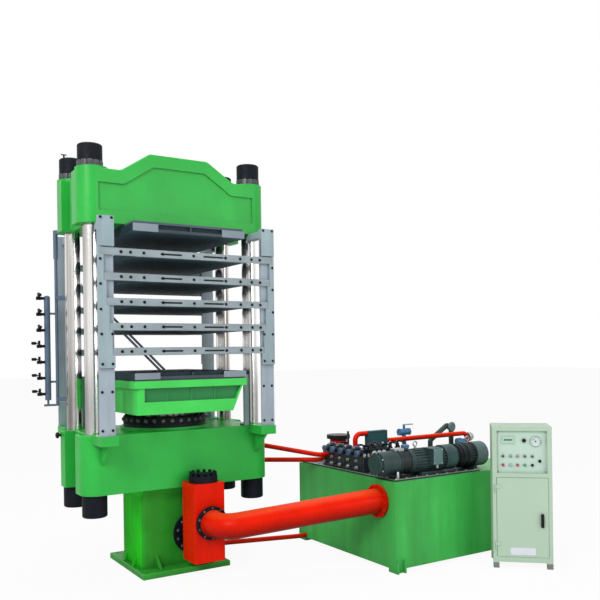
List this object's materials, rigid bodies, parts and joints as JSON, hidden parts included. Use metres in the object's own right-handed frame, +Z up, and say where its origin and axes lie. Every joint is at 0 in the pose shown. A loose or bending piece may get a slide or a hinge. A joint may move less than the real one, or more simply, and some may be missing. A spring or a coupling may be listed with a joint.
{
  "type": "rubber vulcanizing press",
  "caption": "Four-column hydraulic rubber vulcanizing press with hanging hot platens, a steam manifold, an oil unit and a control cabinet.",
  "frame": {"origin": "on the floor, midway between the four columns", "axes": "+X to the right along the press front towards the oil unit, +Y to the back, +Z up"},
  "size_m": [3.966, 2.7029, 3.484],
  "materials": {
    "green_paint": "glossy machine enamel over castings and plate, lightly orange-peeled",
    "red_paint": "glossy enamel on the oil pipes",
    "rack_paint": "semi-gloss blue-grey enamel on flame-cut plate",
    "platen_steel": "dark satin steel, heat darkened",
    "insulation": "matt pale heat-resistant board",
    "column_chrome": "polished hard chrome",
    "dark_steel": "black satin enamel",
    "light_steel": "machined bare steel",
    "header_paint": "semi-gloss blue-grey enamel on steam tube",
    "motor_paint": "dark green-grey enamel on ribbed castings",
    "teal_paint": "semi-gloss teal enamel",
    "blue_paint": "blue enamel",
    "cabinet_paint": "fine-textured pale green powder coat",
    "panel_paint": "smooth pale green panel",
    "black_plastic": "moulded black plastic",
    "lever_plastic": "dark dipped plastic grips",
    "button_red": "moulded red plastic",
    "button_grey": "moulded grey plastic",
    "button_green": "moulded green plastic"
  },
  "bodies": {
    "press_set": {"base_plate": "green_paint", "cylinder_pedestal": "green_paint", "main_cylinder": "green_paint", "gland_ring": "dark_steel", "lower_crosshead": "green_paint", "upper_crosshead": "green_paint", "columns": "column_chrome", "column_nuts": "dark_steel", "nut_flange_rings": "light_steel", "rack_posts": "rack_paint", "hook_plates": "rack_paint", "table_guides": "rack_paint", "upper_hot_platen": "platen_steel", "upper_insulation_board": "insulation", "steam_header": "header_paint", "steam_valves": "dark_steel", "prefill_valve": "red_paint", "prefill_flanges": "dark_steel", "suction_pipe": "red_paint", "pressure_pipes": "red_paint", "oil_tank": "green_paint", "tank_lid": "light_steel", "pump_motors": "motor_paint", "valve_bank": "dark_steel", "filter_canister": "red_paint", "return_pipe": "red_paint", "oil_cooler": "teal_paint", "stop_valve": "blue_paint", "cabinet_shell": "cabinet_paint", "control_panel": "panel_paint"},
    "table": {"ram": "column_chrome", "moving_table": "green_paint", "lower_insulation_board": "insulation", "lower_hot_platen": "platen_steel"},
    "platen_1": {"hot_platen_1": "platen_steel", "hanger_bars_1": "rack_paint"},
    "platen_2": {"hot_platen_2": "platen_steel", "hanger_bars_2": "rack_paint"},
    "platen_3": {"hot_platen_3": "platen_steel", "hanger_bars_3": "rack_paint"},
    "platen_4": {"hot_platen_4": "platen_steel", "hanger_bars_4": "rack_paint"},
    "platen_5": {"hot_platen_5": "platen_steel", "hanger_bars_5": "rack_paint"},
    "steam_lever_1": {"steam_lever_1": "lever_plastic"},
    "steam_lever_2": {"steam_lever_2": "lever_plastic"},
    "steam_lever_3": {"steam_lever_3": "lever_plastic"},
    "steam_lever_4": {"steam_lever_4": "lever_plastic"},
    "steam_lever_5": {"steam_lever_5": "lever_plastic"},
    "steam_lever_6": {"steam_lever_6": "lever_plastic"},
    "steam_lever_7": {"steam_lever_7": "lever_plastic"},
    "stop_valve_lever": {"stop_valve_lever": "light_steel"},
    "cabinet_door": {"cabinet_door": "cabinet_paint"},
    "door_handle": {"door_handle": "black_plastic"},
    "push_button_1": {"push_button_1": "button_red"},
    "push_button_2": {"push_button_2": "button_grey"},
    "push_button_3": {"push_button_3": "button_red"},
    "push_button_4": {"push_button_4": "button_green"},
    "push_button_5": {"push_button_5": "black_plastic"},
    "selector_switch": {"selector_switch": "black_plastic"}
  },
  "joints": [
    {"name": "table_lift", "type": "slide", "parent": "press_set", "child": "table", "axis": [0, 0, 1], "range_m": [0, 0.779]},
    {"name": "platen_1_lift", "type": "slide", "parent": "press_set", "child": "platen_1", "axis": [0, 0, 1], "range_m": [0, 0.1382]},
    {"name": "platen_2_lift", "type": "slide", "parent": "press_set", "child": "platen_2", "axis": [0, 0, 1], "range_m": [0, 0.2645]},
    {"name": "platen_3_lift", "type": "slide", "parent": "press_set", "child": "platen_3", "axis": [0, 0, 1], "range_m": [0, 0.3908]},
    {"name": "platen_4_lift", "type": "slide", "parent": "press_set", "child": "platen_4", "axis": [0, 0, 1], "range_m": [0, 0.5171]},
    {"name": "platen_5_lift", "type": "slide", "parent": "press_set", "child": "platen_5", "axis": [0, 0, 1], "range_m": [0, 0.6434]},
    {"name": "steam_lever_1_turn", "type": "hinge", "parent": "press_set", "child": "steam_lever_1", "pos_m": [-0.952, 0.392, 2.284], "axis": [0, 0, -1], "range_deg": [0, 90]},
    {"name": "steam_lever_2_turn", "type": "hinge", "parent": "press_set", "child": "steam_lever_2", "pos_m": [-0.952, 0.392, 2.1496], "axis": [0, 0, -1], "range_deg": [0, 90]},
    {"name": "steam_lever_3_turn", "type": "hinge", "parent": "press_set", "child": "steam_lever_3", "pos_m": [-0.952, 0.392, 2.0152], "axis": [0, 0, -1], "range_deg": [0, 90]},
    {"name": "steam_lever_4_turn", "type": "hinge", "parent": "press_set", "child": "steam_lever_4", "pos_m": [-0.952, 0.392, 1.8808], "axis": [0, 0, 1], "range_deg": [0, 90]},
    {"name": "steam_lever_5_turn", "type": "hinge", "parent": "press_set", "child": "steam_lever_5", "pos_m": [-0.952, 0.392, 1.7464], "axis": [0, 0, 1], "range_deg": [0, 90]},
    {"name": "steam_lever_6_turn", "type": "hinge", "parent": "press_set", "child": "steam_lever_6", "pos_m": [-0.952, 0.392, 1.612], "axis": [0, 0, 1], "range_deg": [0, 90]},
    {"name": "steam_lever_7_turn", "type": "hinge", "parent": "press_set", "child": "steam_lever_7", "pos_m": [-0.952, 0.392, 1.4776], "axis": [0, 0, 1], "range_deg": [0, 90]},
    {"name": "stop_valve_lever_turn", "type": "hinge", "parent": "press_set", "child": "stop_valve_lever", "pos_m": [2.166, -0.6, 1.074], "axis": [0, 0, -1], "range_deg": [0, 90]},
    {"name": "cabinet_door_hinge", "type": "hinge", "parent": "press_set", "child": "cabinet_door", "pos_m": [2.13397, -1.78121, 0.415], "axis": [0, 0, -1], "range_deg": [0, 110]},
    {"name": "door_handle_turn", "type": "hinge", "parent": "cabinet_door", "child": "door_handle", "pos_m": [2.39321, -2.03393, 0.394], "axis": [0.6871, 0.7266, 0], "range_deg": [0, 90]},
    {"name": "push_button_1_press", "type": "slide", "parent": "press_set", "child": "push_button_1", "axis": [0.6871, 0.7266, 0], "range_m": [0, 0.004], "stiffness_N_per_m": 400},
    {"name": "push_button_2_press", "type": "slide", "parent": "press_set", "child": "push_button_2", "axis": [0.6871, 0.7266, 0], "range_m": [0, 0.004], "stiffness_N_per_m": 400},
    {"name": "push_button_3_press", "type": "slide", "parent": "press_set", "child": "push_button_3", "axis": [0.6871, 0.7266, 0], "range_m": [0, 0.004], "stiffness_N_per_m": 400},
    {"name": "push_button_4_press", "type": "slide", "parent": "press_set", "child": "push_button_4", "axis": [0.6871, 0.7266, 0], "range_m": [0, 0.004], "stiffness_N_per_m": 400},
    {"name": "push_button_5_press", "type": "slide", "parent": "press_set", "child": "push_button_5", "axis": [0.6871, 0.7266, 0], "range_m": [0, 0.004], "stiffness_N_per_m": 400},
    {"name": "selector_turn", "type": "hinge", "parent": "press_set", "child": "selector_switch", "pos_m": [2.40648, -2.00244, 0.87], "axis": [0.6871, 0.7266, 0], "range_deg": [-45, 45]}
  ],
  "couplings": [
    {"joint": "platen_1_lift", "follows": "table_lift", "ratio": 0.17715},
    {"joint": "platen_2_lift", "follows": "table_lift", "ratio": 0.33928},
    {"joint": "platen_3_lift", "follows": "table_lift", "ratio": 0.50141},
    {"joint": "platen_4_lift", "follows": "table_lift", "ratio": 0.66354},
    {"joint": "platen_5_lift", "follows": "table_lift", "ratio": 0.82567}
  ]
}
